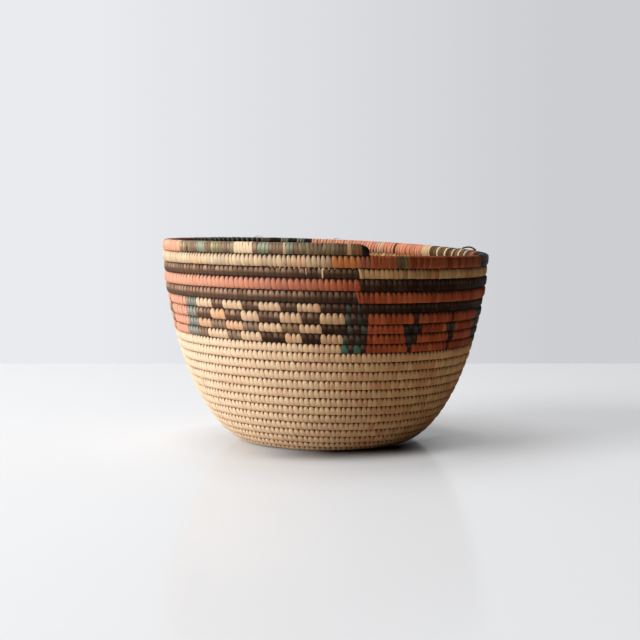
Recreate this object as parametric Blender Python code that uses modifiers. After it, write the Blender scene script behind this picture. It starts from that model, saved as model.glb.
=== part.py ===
"""A coiled basket: one grass bundle wound in a rising spiral, wrapped and sewn with splints.

The bundle starts at a tight button in the middle of the base, lies flat for the base, then
climbs the wall, counter-clockwise seen from above, and ends at a step in the rim. Its lower
turns are wrapped in natural splints, its nine upper turns in dyed ones: four patterned turns,
three plain bands, a cream turn and the rim. In the dyed turns each run of one colour is a
sleeve threaded over the bare bundle.

Metres, +Z up. The origin is the middle of the underside, the front is -Y.
"""

import math

import bmesh
import bpy
import numpy as np

# The line that the centre of the coil follows, seen from the side.
BASE_RADIUS = 0.0664
RIM_RADIUS = 0.1403
WALL_HEIGHT = 0.1720
WALL_POWER = 1.78
PROFILE_STEPS = 600

# The coil.
COIL_DIAMETER = 0.0077
ROW_GAP = 0.0005
START_THICKNESS = 0.0024
POINTS_A_TURN = 24
NATURAL_TURNS = 21
FLAT_SHARE = 0.1

# The bundle was fuller toward the back left while the base was wound, which tilts the rows.
FULLER_SHARE = 0.084
FULLER_SIDE = math.radians(-118)
FULLER_TURNS = 8

# The last natural turn and the dyed turns, lowest first: how thick each is at the front, as a
# share of the coil. The dyed turns are a little thinner at the sides, so the rim dips there.
LAST_NATURAL_SHARE = 0.94
ROW_SHARES = (1.03, 0.99, 1.17, 0.95, 1.22, 1.23, 1.03, 1.27, 1.14)
SIDE_THINNING = 0.028
PATTERN_ROWS = 4

# The splints over the bundle, and the room that solid pieces leave each other.
SPLINT_THICKNESS = 0.0010
SLEEVE_CLEARANCE = 0.0003
END_CLEARANCE = 0.0003

# Where the rim ends, and the last stretch of it.
STEP_ANGLE = math.radians(14)
TIP_LENGTH = 0.0078
TIP_SHARE = 0.55
TIP_POINTS = 5

# The button in the middle of the base.
BUTTON_RADIUS = 0.0123
BUTTON_DIMPLE = 0.0016
BUTTON_STEPS = 20

# The loose end of a splint on the rim, right of the back.
STRAY_DIAMETER = 0.0009
STRAY_RISE = 0.0030
STRAY_CLEARANCE = 0.0003
STRAY_FROM = math.radians(100)
STRAY_TO = math.radians(114)
STRAY_POINTS = 9

CUT_OVERRUN = 0.01
WELD_DISTANCE = 0.00001
SMOOTH_ANGLE = math.radians(65)

# The runs of the patterned turns, counter-clockwise from the step, as shares of a turn.
PANEL_SHARES = (
    ("red_panel_1", 0.0, 0.1514, "coral"),
    ("checker_panel_1", 0.1514, 0.3319, "checker"),
    ("red_panel_2", 0.3319, 0.4722, "coral"),
    ("checker_panel_2", 0.4722, 0.6528, "checker"),
    ("red_panel_3", 0.6528, 0.7983, "coral"),
    ("checker_panel_3", 0.7983, 1.0, "checker"),
)

# The runs of the plain bands, the cream turn and the rim: row, name, shares of the turn, dye.
BAND_SHARES = (
    (4, "lower_dark_band", 0.0, 1.0, "dark"),
    (5, "coral_band", 0.0, 1.0, "coral"),
    (6, "upper_dark_band", 0.0, 1.0, "dark"),
    (7, "cream_turn", 0.0, 0.9722, "cream"),
    (7, "cream_turn_orange_end", 0.9722, 1.0, "orange"),
    (8, "rim_rust_run", 0.0, 0.2556, "rust"),
    (8, "rim_olive_run", 0.2556, 0.3472, "olive"),
    (8, "rim_coral_run", 0.3472, 0.4722, "coral"),
    (8, "rim_green_run", 0.4722, 0.6167, "green"),
    (8, "rim_maroon_run", 0.6167, 0.7250, "maroon"),
    (8, "rim_salmon_run", 0.7250, 0.7972, "salmon"),
    (8, "rim_mottled_run", 0.7972, 1.0, "brown"),
)

# Dyes and fibres: red, green and blue in linear light, and roughness.
FINISHES = {
    "natural": ((0.56, 0.36, 0.18), 0.70),
    "grass": ((0.50, 0.38, 0.16), 0.80),
    "coral": ((0.45, 0.14, 0.08), 0.65),
    "checker": ((0.30, 0.20, 0.12), 0.68),
    "dark": ((0.055, 0.038, 0.030), 0.62),
    "cream": ((0.60, 0.45, 0.26), 0.68),
    "orange": ((0.50, 0.22, 0.09), 0.66),
    "rust": ((0.26, 0.075, 0.040), 0.60),
    "olive": ((0.19, 0.18, 0.09), 0.64),
    "green": ((0.08, 0.11, 0.075), 0.64),
    "maroon": ((0.13, 0.035, 0.030), 0.60),
    "salmon": ((0.55, 0.25, 0.15), 0.66),
    "brown": ((0.16, 0.10, 0.06), 0.64),
    "black": ((0.018, 0.014, 0.012), 0.58),
}

TOTAL_TURNS = NATURAL_TURNS + len(ROW_SHARES)


def clear_scene():
    for old in list(bpy.data.objects):
        bpy.data.objects.remove(old)


def new_collection(name):
    collection = bpy.data.collections.new(name)
    bpy.context.scene.collection.children.link(collection)
    return collection


def finish(name):
    """The Principled material of one dye or fibre, made for the sub-part that asks for it."""
    colour, roughness = FINISHES[name]
    material = bpy.data.materials.new(name)
    material.use_nodes = True
    shader = material.node_tree.nodes["Principled BSDF"]
    shader.inputs["Base Color"].default_value = (*colour, 1)
    shader.inputs["Roughness"].default_value = roughness
    shader.inputs["Metallic"].default_value = 0
    return material


def thickness(turn, azimuth):
    """The coil's diameter at each turn: thin at its start, uneven in the base, fuller above."""
    knots = NATURAL_TURNS - 1 + np.arange(len(ROW_SHARES) + 2)
    plain = COIL_DIAMETER * np.interp(turn, knots, [1, LAST_NATURAL_SHARE, *ROW_SHARES])
    fuller = FULLER_SHARE * np.clip(FULLER_TURNS - turn, 0, 1) * np.cos(azimuth - FULLER_SIDE)
    thinner = SIDE_THINNING * np.clip(turn - NATURAL_TURNS, 0, 1) * np.sin(azimuth) ** 2
    started = np.clip(turn, 0, 1)
    return START_THICKNESS + (plain * (1 + fuller - thinner) - START_THICKNESS) * started


def profile():
    """Radius, height and distance run of the centre line: flat, then a quarter of a superellipse."""
    swing = np.linspace(0, math.pi / 2, PROFILE_STEPS)
    out = BASE_RADIUS + (RIM_RADIUS - BASE_RADIUS) * np.sin(swing) ** (2 / WALL_POWER)
    up = WALL_HEIGHT * (1 - np.cos(swing) ** (2 / WALL_POWER))
    radius = np.concatenate([[0], out, [out[-1]]])
    height = np.concatenate([[0], up, [up[-1] + WALL_HEIGHT]])
    run = np.concatenate([[0], np.cumsum(np.hypot(np.diff(radius), np.diff(height)))])
    return radius, height, run


def wind_coil():
    """Centre points, tube radii and tilts of the whole coil, a fixed count of points a turn.

    A point lies half of both thicknesses and the row gap further along the profile than the
    point one turn before it, so the rows touch everywhere without meeting. The points are set
    half a step off the whole turns, so that runs end square, within a chord.
    """
    turn = (np.arange(TOTAL_TURNS * POINTS_A_TURN + 2) - 0.5) / POINTS_A_TURN
    azimuth = STEP_ANGLE + 2 * math.pi * (turn - NATURAL_TURNS)
    thick = thickness(turn, azimuth)
    along = BUTTON_RADIUS + ROW_GAP + thick / 2 + turn * (thick[0] + ROW_GAP)
    for i in range(POINTS_A_TURN, len(turn)):
        before = i - POINTS_A_TURN
        along[i] = along[before] + (thick[before] + thick[i]) / 2 + ROW_GAP
    radius, height, run = profile()
    out = np.interp(along, run, radius)
    lift = (0.5 - FLAT_SHARE) * np.where(turn < NATURAL_TURNS, thick, COIL_DIAMETER)
    up = np.interp(along, run, height) + lift
    slope = np.arctan2(np.diff(height), np.diff(radius))
    lean = np.interp(along, (run[1:] + run[:-1]) / 2, slope)
    centre = np.column_stack([out * np.sin(azimuth), -out * np.cos(azimuth), up])
    return turn, np.column_stack([centre, thick / 2, -lean, out])


TURN, COIL = wind_coil()


def coil_at(turn):
    """x, y, z, tube radius, tilt and distance from the axis at a turn, on the coil's own chords."""
    return np.array([np.interp(turn, TURN, column) for column in COIL.T])


def stretch(first, last):
    """The coil's points from one turn to another, its ends drawn back by half the end gap."""
    room = END_CLEARANCE / 2
    first += room / (2 * math.pi * coil_at(first)[5])
    last -= room / (2 * math.pi * coil_at(last)[5])
    inside = COIL[(TURN > first) & (TURN < last)]
    return np.vstack([coil_at(first), inside, coil_at(last)])


def tube(name, points, radii, tilts, capped=True):
    """A six-sided tube along the points, as a curve object with a radius and a tilt at each."""
    curve = bpy.data.curves.new(name, "CURVE")
    curve.dimensions = "3D"
    curve.twist_mode = "Z_UP"
    curve.bevel_depth = float(max(radii))
    curve.bevel_resolution = 1
    curve.use_fill_caps = capped
    spline = curve.splines.new("POLY")
    spline.points.add(len(points) - 1)
    places = np.column_stack([points, np.ones(len(points))])
    spline.points.foreach_set("co", places.ravel())
    spline.points.foreach_set("radius", np.asarray(radii) / max(radii))
    spline.points.foreach_set("tilt", tilts)
    return bpy.data.objects.new(name, curve)


def as_mesh(curve_object):
    """The same tube as a mesh object, its caps welded to its side."""
    bpy.context.scene.collection.objects.link(curve_object)
    graph = bpy.context.evaluated_depsgraph_get()
    mesh = bpy.data.meshes.new_from_object(curve_object.evaluated_get(graph))
    name, matrix = curve_object.name, curve_object.matrix_world.copy()
    bpy.data.objects.remove(curve_object)
    shape = bmesh.new()
    shape.from_mesh(mesh)
    bmesh.ops.remove_doubles(shape, verts=shape.verts, dist=WELD_DISTANCE)
    bmesh.ops.recalc_face_normals(shape, faces=shape.faces)
    shape.to_mesh(mesh)
    shape.free()
    mesh.shade_smooth()
    mesh.set_sharp_from_angle(angle=SMOOTH_ANGLE)
    made = bpy.data.objects.new(name, mesh)
    made.matrix_world = matrix
    return made


def place(collection, made, material_name):
    made.data.materials.clear()
    made.data.materials.append(finish(material_name))
    collection.objects.link(made)
    return made


def add_button(basket):
    """The start of the coil: the bundle's tip hooked on itself so tightly that its turns close up."""
    thick = (1 - FLAT_SHARE) * COIL_DIAMETER
    edge = thick / 3
    rounding = np.linspace(math.pi / 2, 0, 4)
    profile_x = BUTTON_RADIUS - edge + edge * np.cos(rounding)
    profile_z = thick - edge + edge * np.sin(rounding)
    foot = BUTTON_RADIUS - edge / 2
    outline = [(0, thick - BUTTON_DIMPLE), (BUTTON_RADIUS / 4, thick - BUTTON_DIMPLE / 2)]
    outline += list(zip(profile_x, profile_z))
    outline += [(BUTTON_RADIUS, edge / 2), (foot, 0), (0, 0)]
    mesh = bpy.data.meshes.new("base_button")
    edges = [(i, i + 1) for i in range(len(outline) - 1)]
    mesh.from_pydata([(x, 0, z) for x, z in outline], edges, [])
    button = place(basket, bpy.data.objects.new("base_button", mesh), "natural")
    screw = button.modifiers.new("Turn", "SCREW")
    screw.steps = BUTTON_STEPS
    screw.render_steps = BUTTON_STEPS
    screw.use_merge_vertices = True
    screw.merge_threshold = WELD_DISTANCE
    screw.use_smooth_shade = True


def add_natural_coil(basket, cutters):
    """The base and the lower wall: bundle and natural splints as one unbroken tube, cut flat below."""
    run = stretch(0, NATURAL_TURNS)
    coil = as_mesh(tube("natural_coil", run[:, :3], run[:, 3], run[:, 4]))
    place(basket, coil, "natural")
    bpy.ops.mesh.primitive_cube_add(size=1)
    floor = bpy.context.object
    floor.name = "floor_cutter"
    floor.data.name = "floor_cutter"
    span = 2 * RIM_RADIUS + CUT_OVERRUN
    floor.dimensions = (span, span, CUT_OVERRUN)
    floor.location = (0, 0, -CUT_OVERRUN / 2)
    for holder in list(floor.users_collection):
        holder.objects.unlink(floor)
    cutters.objects.link(floor)
    floor.hide_render = True
    floor.display_type = "WIRE"
    cut = coil.modifiers.new("Flat foot", "BOOLEAN")
    cut.operation = "DIFFERENCE"
    cut.solver = "EXACT"
    cut.object = floor


def tip_start():
    """The turn at which the rim's closed tip takes over from the sleeves and the bundle."""
    return TOTAL_TURNS - TIP_LENGTH / (2 * math.pi * coil_at(TOTAL_TURNS)[5])


def add_foundation(basket):
    """The grass bundle inside the dyed turns, one unbroken tube from the natural coil to the tip."""
    run = stretch(NATURAL_TURNS, tip_start())
    bare = run[:, 3] - SPLINT_THICKNESS - SLEEVE_CLEARANCE
    bundle = tube("grass_foundation", run[:, :3], bare, run[:, 4])
    place(basket, bundle, "grass")


def add_sleeve(basket, name, first, last, dye):
    """One run of splints of one dye: a tube open at both ends, with the bundle's bore through it."""
    run = stretch(first, last)
    sleeve = as_mesh(tube(name, run[:, :3], run[:, 3], run[:, 4], capped=False))
    place(basket, sleeve, dye)
    wall = sleeve.modifiers.new("Splints", "SOLIDIFY")
    wall.thickness = SPLINT_THICKNESS
    wall.offset = -1
    wall.use_rim = True


def add_dyed_turns(basket):
    for row in range(PATTERN_ROWS):
        for name, begin, end, dye in PANEL_SHARES:
            turn = NATURAL_TURNS + row
            add_sleeve(basket, f"{name}_row_{row + 1}", turn + begin, turn + end, dye)
    for row, name, begin, end, dye in BAND_SHARES:
        turn = NATURAL_TURNS + row
        add_sleeve(basket, name, turn + begin, min(turn + end, tip_start()), dye)


def add_tip(basket):
    """The rim's last stitches: bundle and splints tapering together, down onto the row below.

    The first step runs straight, square to the sleeve that it follows.
    """
    first = tip_start()
    step_shares = np.linspace(0, 1, TIP_POINTS)
    turns = first + (TOTAL_TURNS - first) * step_shares
    run = np.array([coil_at(turn) for turn in turns])
    fall_shares = np.clip((step_shares - step_shares[1]) / (1 - step_shares[1]), 0, 1)
    thin = run[:, 3] * (1 - (1 - TIP_SHARE) * fall_shares**2)
    drop = run[:, 3] - thin
    outward = np.column_stack([run[:, 0], run[:, 1]]) / run[:, 5:]
    lean = -run[:, 4:5]
    down = np.hstack([outward * np.cos(lean), np.sin(lean)])
    centre = run[:, :3] - down * drop[:, None]
    along = centre[-1] - centre[0]
    room = END_CLEARANCE / 2 * along / np.linalg.norm(along)
    centre[0] += room
    place(basket, tube("rim_tip", centre, thin, run[:, 4]), "black")


def add_stray_splint(basket):
    """A loose end of a rim splint that stands off the rim in a low arch."""
    rise = np.linspace(0, 1, STRAY_POINTS)
    angle = STRAY_FROM + (STRAY_TO - STRAY_FROM) * rise
    turns = TOTAL_TURNS - 1 + (angle - STEP_ANGLE) / (2 * math.pi)
    run = np.array([coil_at(turn) for turn in turns])
    clear = STRAY_CLEARANCE + STRAY_DIAMETER / 2
    above = run[:, 3] + clear + STRAY_RISE * np.sin(math.pi * rise)
    outward = np.column_stack([run[:, 0], run[:, 1]]) / run[:, 5:]
    lean = -run[:, 4:5]
    up = np.hstack([outward * np.cos(lean), np.sin(lean)])
    centre = run[:, :3] + up * above[:, None]
    radii = np.full(STRAY_POINTS, STRAY_DIAMETER / 2)
    place(basket, tube("stray_splint", centre, radii, np.zeros(STRAY_POINTS)), "dark")


def print_row_gap():
    """Prints the least gap between the coil's rows, from each point to those a turn away."""
    centre, half = COIL[:, :3], COIL[:, 3]
    nearest = []
    for apart in (POINTS_A_TURN - 1, POINTS_A_TURN, POINTS_A_TURN + 1):
        space = np.linalg.norm(centre[apart:] - centre[:-apart], axis=1)
        nearest.append((space - half[apart:] - half[:-apart]).min())
    top = COIL[:, 2].max() + COIL[-POINTS_A_TURN:, 3].max()
    print(f"least gap between rows {1000 * min(nearest):.3f} mm, height {1000 * top:.1f} mm")


def build():
    clear_scene()
    basket = new_collection("coiled_basket")
    cutters = new_collection("cutters")
    add_button(basket)
    add_natural_coil(basket, cutters)
    add_foundation(basket)
    add_dyed_turns(basket)
    add_tip(basket)
    add_stray_splint(basket)
    print_row_gap()


build()
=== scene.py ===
# %% [markdown]
# A coiled basket, sewn in Blender
#
# The real basket is one long bundle of grass, wound in a rising spiral. A flat splint of palm
# leaf is wrapped round the bundle, stitch after stitch, and each stitch also catches the row
# below. So the basket is built here as it is made: first the line that the bundle follows,
# then the bundle, then every single stitch in its own dye.

import math

import bpy
import numpy as np
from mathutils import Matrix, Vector


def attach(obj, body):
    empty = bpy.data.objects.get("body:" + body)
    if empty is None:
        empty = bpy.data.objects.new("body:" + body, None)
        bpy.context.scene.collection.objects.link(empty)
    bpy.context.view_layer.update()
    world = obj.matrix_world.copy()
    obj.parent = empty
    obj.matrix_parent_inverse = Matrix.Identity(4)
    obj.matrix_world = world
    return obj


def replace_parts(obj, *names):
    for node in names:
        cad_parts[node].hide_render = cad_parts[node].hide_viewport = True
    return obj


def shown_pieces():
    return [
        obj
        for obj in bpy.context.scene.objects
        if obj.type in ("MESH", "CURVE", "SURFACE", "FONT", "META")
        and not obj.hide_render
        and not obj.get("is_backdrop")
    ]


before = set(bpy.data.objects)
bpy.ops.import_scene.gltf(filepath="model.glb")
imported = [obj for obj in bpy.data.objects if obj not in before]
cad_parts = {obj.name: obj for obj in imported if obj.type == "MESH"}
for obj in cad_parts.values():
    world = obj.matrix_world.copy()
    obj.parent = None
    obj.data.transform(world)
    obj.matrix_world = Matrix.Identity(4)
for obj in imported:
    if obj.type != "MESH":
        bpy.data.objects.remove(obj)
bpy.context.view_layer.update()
rng = np.random.default_rng(7)
print("solids in the frame:", len(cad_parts))

# %% [markdown]
# The line of the coil
#
# Seen from the side the line is flat for the base and then a quarter of a superellipse for the
# wall. One turn lies half of both rows' thickness further along that profile than the turn
# before it, so the rows touch all the way. The same rule is used for the solids, but here it is
# sampled four times as finely, because a rim with corners would show.

# %% Sizes of the coil
BASE_RADIUS, RIM_RADIUS, WALL_HEIGHT, WALL_POWER = 0.0664, 0.1403, 0.1720, 1.78
COIL_DIAMETER, ROW_GAP, START_THICKNESS = 0.0077, 0.0005, 0.0024
NATURAL_TURNS, FLAT_SHARE = 21, 0.1
FULLER_SHARE, FULLER_SIDE, FULLER_TURNS = 0.084, math.radians(-118), 8
LAST_NATURAL_SHARE, SIDE_THINNING = 0.94, 0.028
ROW_SHARES = (1.03, 0.99, 1.17, 0.95, 1.22, 1.23, 1.03, 1.27, 1.14)
STEP_DEGREES, BUTTON_RADIUS = 14, 0.0123
STEP_ANGLE = math.radians(STEP_DEGREES)
TIP_LENGTH, CAP_LENGTH = 0.0110, 0.0034
TOTAL_TURNS = NATURAL_TURNS + len(ROW_SHARES)
PER_TURN = 96  # places worked out in each turn


def row_thickness(turn, azimuth):
    """Bundle and splints together: thin at the start, uneven in the base, fuller above."""
    knots = NATURAL_TURNS - 1 + np.arange(len(ROW_SHARES) + 2)
    plain = COIL_DIAMETER * np.interp(turn, knots, [1, LAST_NATURAL_SHARE, *ROW_SHARES])
    uneven = FULLER_SHARE * np.clip(FULLER_TURNS - turn, 0, 1) * np.cos(azimuth - FULLER_SIDE)
    uneven = uneven - SIDE_THINNING * np.clip(turn - NATURAL_TURNS, 0, 1) * np.sin(azimuth) ** 2
    return START_THICKNESS + (plain * (1 + uneven) - START_THICKNESS) * np.clip(turn, 0, 1)


def wall_profile():
    """Radius and height against the distance run: flat, then a superellipse, then upright."""
    swing = np.linspace(0, math.pi / 2, 900)
    out = BASE_RADIUS + (RIM_RADIUS - BASE_RADIUS) * np.sin(swing) ** (2 / WALL_POWER)
    up = WALL_HEIGHT * (1 - np.cos(swing) ** (2 / WALL_POWER))
    radius = np.concatenate([[0], out, [out[-1]]])
    height = np.concatenate([[0], up, [up[-1] + WALL_HEIGHT]])
    run = np.concatenate([[0], np.cumsum(np.hypot(np.diff(radius), np.diff(height)))])
    return radius, height, run


def coil_table():
    """Turn, distance along the coil, radius, height, half thickness and lean, as columns."""
    turn = np.arange(TOTAL_TURNS * PER_TURN + 1) / PER_TURN
    azimuth = STEP_ANGLE + 2 * math.pi * (turn - NATURAL_TURNS)
    thick = row_thickness(turn, azimuth)
    along = BUTTON_RADIUS + ROW_GAP + thick / 2 + turn * (START_THICKNESS + ROW_GAP)
    for k in range(1, TOTAL_TURNS + 1):
        here = slice(k * PER_TURN, min((k + 1) * PER_TURN, len(turn)))
        below = slice(here.start - PER_TURN, here.stop - PER_TURN)
        along[here] = along[below] + (thick[below] + thick[here]) / 2 + ROW_GAP
    radius, height, run = wall_profile()
    out = np.interp(along, run, radius)
    lift = (0.5 - FLAT_SHARE) * np.where(turn < NATURAL_TURNS, thick, COIL_DIAMETER)
    up = np.interp(along, run, height) + lift
    slope = np.arctan2(np.diff(height), np.diff(radius))
    lean = np.interp(along, (run[1:] + run[:-1]) / 2, slope)
    run_along = np.concatenate([[0], np.cumsum(2 * math.pi * out[1:] / PER_TURN)])
    return np.column_stack([turn, run_along, out, up, thick / 2, lean])


TABLE = coil_table()
TIP_TURN = TOTAL_TURNS - TIP_LENGTH / (2 * math.pi * RIM_RADIUS)
CAP_TURN = TOTAL_TURNS - CAP_LENGTH / (2 * math.pi * RIM_RADIUS)
print("length of the coil in metres:", round(TABLE[-1, 1], 2))

# %% Where a point on the coil's skin lies
# Powers of the row's outline: inside, how much more outside, and more again at the lower edge.
INNER_POWER, OUTER_MORE, LOWER_MORE = 2.2, 2.6, 0.8
# Splints swell past the bundle's own size: outwards, and up and down past half of the gap.
SWELL_OUT, SWELL_UP = 0.0002, 0.0001
# How far a hand-made wall is out of round, and the height at which the base is worn flat.
OUT_OF_ROUND, WORN_HEIGHT = 0.0004, 0.0001
# The last stitches: how much thinner they get, and how far they move out and down.
TIP_THINNER, TIP_OUT, TIP_DOWN = 0.24, 0.2, 0.55


def run_at(turn):
    """Distance along the coil, in metres, at a turn."""
    return np.interp(turn, TABLE[:, 0], TABLE[:, 1])


def turn_at(run):
    """The turn at a distance along the coil."""
    return np.interp(run, TABLE[:, 1], TABLE[:, 0])


def row_outline(around, half):
    """Distance of the skin from the row's centre, at an angle round the row.

    Zero degrees points out of the basket and a quarter turn points up the wall. The outline is
    a superellipse, squarer on the outside, where the rows press each other flat, and squarest at
    the outer lower edge, which sits on the row below.
    """
    across, upward = np.cos(around), np.sin(around)
    outer = np.clip(across + 0.3, 0, 1)
    power = INNER_POWER + outer * (OUTER_MORE + LOWER_MORE * np.clip(-upward, 0, 1))
    wide, tall = half + SWELL_OUT, half + ROW_GAP / 2 + SWELL_UP
    return (np.abs(across / wide) ** power + np.abs(upward / tall) ** power) ** (-1 / power)


def skin_point(turn, around, depth, flat=WORN_HEIGHT):
    """Places at a turn, an angle round the row, and a depth below the skin, as x, y, z.

    The row's cross-section leans with the wall. A hand-made wall is never quite round, so its
    radius swells and shrinks a little, the more the higher it is. The base is worn flat. The last
    eleven millimetres taper down onto the row below and close in a rounded end.
    """
    out, up, half, lean = (np.interp(turn, TABLE[:, 0], TABLE[:, c]) for c in (2, 3, 4, 5))
    azimuth = STEP_ANGLE + 2 * math.pi * (turn - NATURAL_TURNS)
    uneven = np.sin(3 * azimuth + 1.0) + 0.6 * np.sin(5 * azimuth + 2.2)
    out = out + OUT_OF_ROUND * uneven * np.clip(up / WALL_HEIGHT, 0, 1)
    ending = np.clip((turn - TIP_TURN) / (TOTAL_TURNS - TIP_TURN), 0, 1) ** 2
    closing = np.clip((turn - CAP_TURN) / (TOTAL_TURNS - CAP_TURN), 0, 1)
    reach = (row_outline(around, half) - depth) * (1 - TIP_THINNER * ending)
    reach = reach * np.sqrt(1 - closing**2)
    across = reach * np.cos(around) + TIP_OUT * half * ending
    upward = reach * np.sin(around) - TIP_DOWN * half * ending
    distance = out + across * np.sin(lean) + upward * np.cos(lean)
    worn = flat + 0.4 * np.clip(depth, 0, 0.001)
    height = np.maximum(up + upward * np.sin(lean) - across * np.cos(lean), worn)
    return np.stack([distance * np.sin(azimuth), -distance * np.cos(azimuth), height], axis=-1)


print("outer side of the last stitch:", skin_point(TIP_TURN, 0.0, 0.0).round(4))

# %% A grid of points becomes a mesh
def grid_faces(rows, columns):
    """Four corner numbers for each cell of a grid of rows by columns of points."""
    corner = (np.arange(rows - 1)[:, None] * columns + np.arange(columns - 1)).ravel()
    return np.stack([corner, corner + columns, corner + columns + 1, corner + 1], axis=-1)


def add(name, data):
    """A new object with the given data, linked into the scene."""
    made = bpy.data.objects.new(name, data)
    bpy.context.scene.collection.objects.link(made)
    return made


def mesh_piece(name, points, faces, uv, **values):
    """A mesh object from arrays: points, four-cornered faces, a UV map and point attributes.

    The UV map is in metres on the real splint, and is kept here in millimetres.
    """
    mesh = bpy.data.meshes.new(name)
    mesh.vertices.add(len(points))
    mesh.vertices.foreach_set("co", points.astype(np.float32).ravel())
    mesh.loops.add(faces.size)
    mesh.loops.foreach_set("vertex_index", faces.astype(np.int32).ravel())
    mesh.polygons.add(len(faces))
    mesh.polygons.foreach_set("loop_start", np.arange(0, faces.size, 4, dtype=np.int32))
    layer = mesh.uv_layers.new(name="splint")
    layer.data.foreach_set("uv", (1000 * uv[faces.ravel()]).astype(np.float32).ravel())
    for key, array in values.items():
        flat = array.ndim == 1
        made = mesh.attributes.new(key, "FLOAT" if flat else "FLOAT_VECTOR", "POINT")
        made.data.foreach_set("value" if flat else "vector", array.astype(np.float32).ravel())
    mesh.update()
    mesh.validate()
    mesh.shade_smooth()
    return add(name, mesh)


print("faces in a grid of 3 by 3 points:", len(grid_faces(3, 3)))

# %% [markdown]
# Which stitch has which dye
#
# The maker changes to a splint of another dye at chosen places. A run is written as the angle
# where it starts, counter-clockwise from the front in degrees, and its dye. The nine dyed turns
# start at 14 degrees, right under the step in the rim, so the front left of a turn has angles
# just below 374.

# %% Runs of dye, turn by turn
BLOCKS, BAR_DEGREES = 7, 8.5
MOTIF_HALVES = (0.9, 2.4, 3.3, 0.8)  # half the width of a dark motif behind, in each row
TWO_DYES_FROM = 4  # a motif wider than this has green in it


def check_panel(first, last, start_dark):
    """Dark and tan blocks of about seven degrees between two bars of green and dark."""
    edges = np.linspace(first + BAR_DEGREES, last - BAR_DEGREES, BLOCKS + 1)
    dyes = ["dark" if (k + start_dark) % 2 else "tan" for k in range(BLOCKS)]
    return [(first, "bar"), *zip(edges[:-1], dyes), (last - BAR_DEGREES, "bar"), (last, "coral")]


def motifs_on_coral(motifs):
    """Dark motifs on a red panel, each from one angle to another."""
    runs = []
    for low, high in motifs:
        runs += [(low, "bar" if high - low > TWO_DYES_FROM else "dark"), (high, "coral")]
    return runs


def rear_panels(row, first, motifs):
    """The red panel right of the step, then the panels that the photo does not show."""
    half = MOTIF_HALVES[row]
    behind, beside = ([(middle - half, middle + half) for middle in pair]
                      for pair in ((152, 168), (267, 284)))
    return [(STEP_DEGREES, "coral"), *motifs_on_coral(motifs), *check_panel(first, 133.5, row),
            *motifs_on_coral(behind), *check_panel(184, 249, row + 1), *motifs_on_coral(beside)]


def front_check(starts):
    """The front left panel: dyes in turn from its first bar, at the angles seen in the photo."""
    return [(360 + angle, dye) for angle, dye in starts]


PATTERN = (
    rear_panels(0, 72.8, ((30.1, 31.8), (49.8, 51.4)))
    + front_check(((-60.7, "green"), (-53.0, "brown"), (-47.3, "tan"), (-37.2, "brown"),
                   (-31.5, "tan"), (-23.2, "sepia"), (-14.4, "amber"), (-12.0, "tan"),
                   (-8.6, "sepia"), (-2.1, "tan"), (5.6, "bar"))),
    rear_panels(1, 67.6, ((28.8, 33.7), (49.5, 52.7)))
    + front_check(((-58.9, "green"), (-51.7, "amber"), (-44.7, "brown"), (-37.4, "amber"),
                   (-30.2, "brown"), (-23.9, "tan"), (-15.5, "umber"), (-9.3, "tan"),
                   (-1.7, "sepia"), (6.9, "bar"))),
    rear_panels(2, 67.9, ((27.7, 35.3), (47.6, 53.0)))
    + front_check(((-58.6, "green"), (-52.0, "dark"), (-44.0, "amber"), (-37.2, "dark"),
                   (-30.3, "tan"), (-23.5, "dark"), (-15.9, "tan"), (-8.4, "dark"),
                   (-2.3, "tan"), (6.0, "bar"))),
    rear_panels(3, 68.9, ((31.0, 33.3), (49.6, 50.8)))
    + front_check(((-58.6, "green"), (-51.5, "tan"), (-43.1, "dark"), (-37.9, "tan"),
                   (-29.7, "dark"), (-23.3, "tan"), (-15.6, "dark"), (-9.9, "tan"),
                   (-4.5, "amber"), (-2.1, "dark"), (6.3, "green"), (8.3, "dark"),
                   (10.3, "green"), (11.3, "dark"))),
)

BANDS = (
    [(STEP_DEGREES, "dark"), (370.4, "coral")],
    [(STEP_DEGREES, "coral"), (370.8, "dark")],
    [(STEP_DEGREES, "dark"), (370.5, "khaki")],
    [(STEP_DEGREES, "khaki"), (24, "khaki_olive"), (40, "khaki"), (52, "khaki_olive"),
     (62, "khaki"), (95, "cream"), (361.5, "orange"), (371.0, "pinkish")],
)

RIM = (
    (STEP_DEGREES, "rust"), (23.1, "olive"), (26.9, "rust"), (66.5, "dark"), (72, "black"),
    (90, "dark"), (99, "pinkish"), (103, "brown"), (106, "pale_twist"), (130.2, "brown"),
    (132.5, "ivory"), (136.8, "pink_coral"), (149.4, "brown"), (150.2, "pink_coral"),
    (155.6, "ivory"), (157.6, "pink_coral"), (185.3, "black"), (188.3, "mint"),
    (191.6, "black"), (195.2, "mint"), (198.5, "black"), (203, "brown"), (207, "twist"),
    (233, "brown_twist"), (244, "maroon"), (275, "salmon"), (300.9, "mottled"),
    (307.6, "brown"), (311.4, "mint"), (315.8, "brown"), (318.6, "olive"), (323.4, "brown"),
    (326.8, "olive"), (328.5, "ivory"), (335.5, "brown"), (337.2, "mint"), (341.2, "brown"),
    (346.0, "tan"), (346.9, "mint"), (349.4, "brown"), (351.0, "olive"), (354.6, "brown"),
    (358.4, "olive"), (362.5, "brown"), (366.4, "tan"), (367.8, "olive"), (369.0, "pinkish"),
    (370.2, "olive"), (371.3, "black"),
)


def at_turn(row, angle):
    """The turn at an angle in one of the dyed turns, which are counted from 0."""
    return NATURAL_TURNS + row + (angle - STEP_DEGREES) / 360


RUNS = [(0, "natural"), (at_turn(-1, 365), "bright_bar")]
RUNS += [(at_turn(r, a), dye) for r, row in enumerate((*PATTERN, *BANDS, RIM)) for a, dye in row]
print("runs of dye:", len(RUNS))

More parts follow.
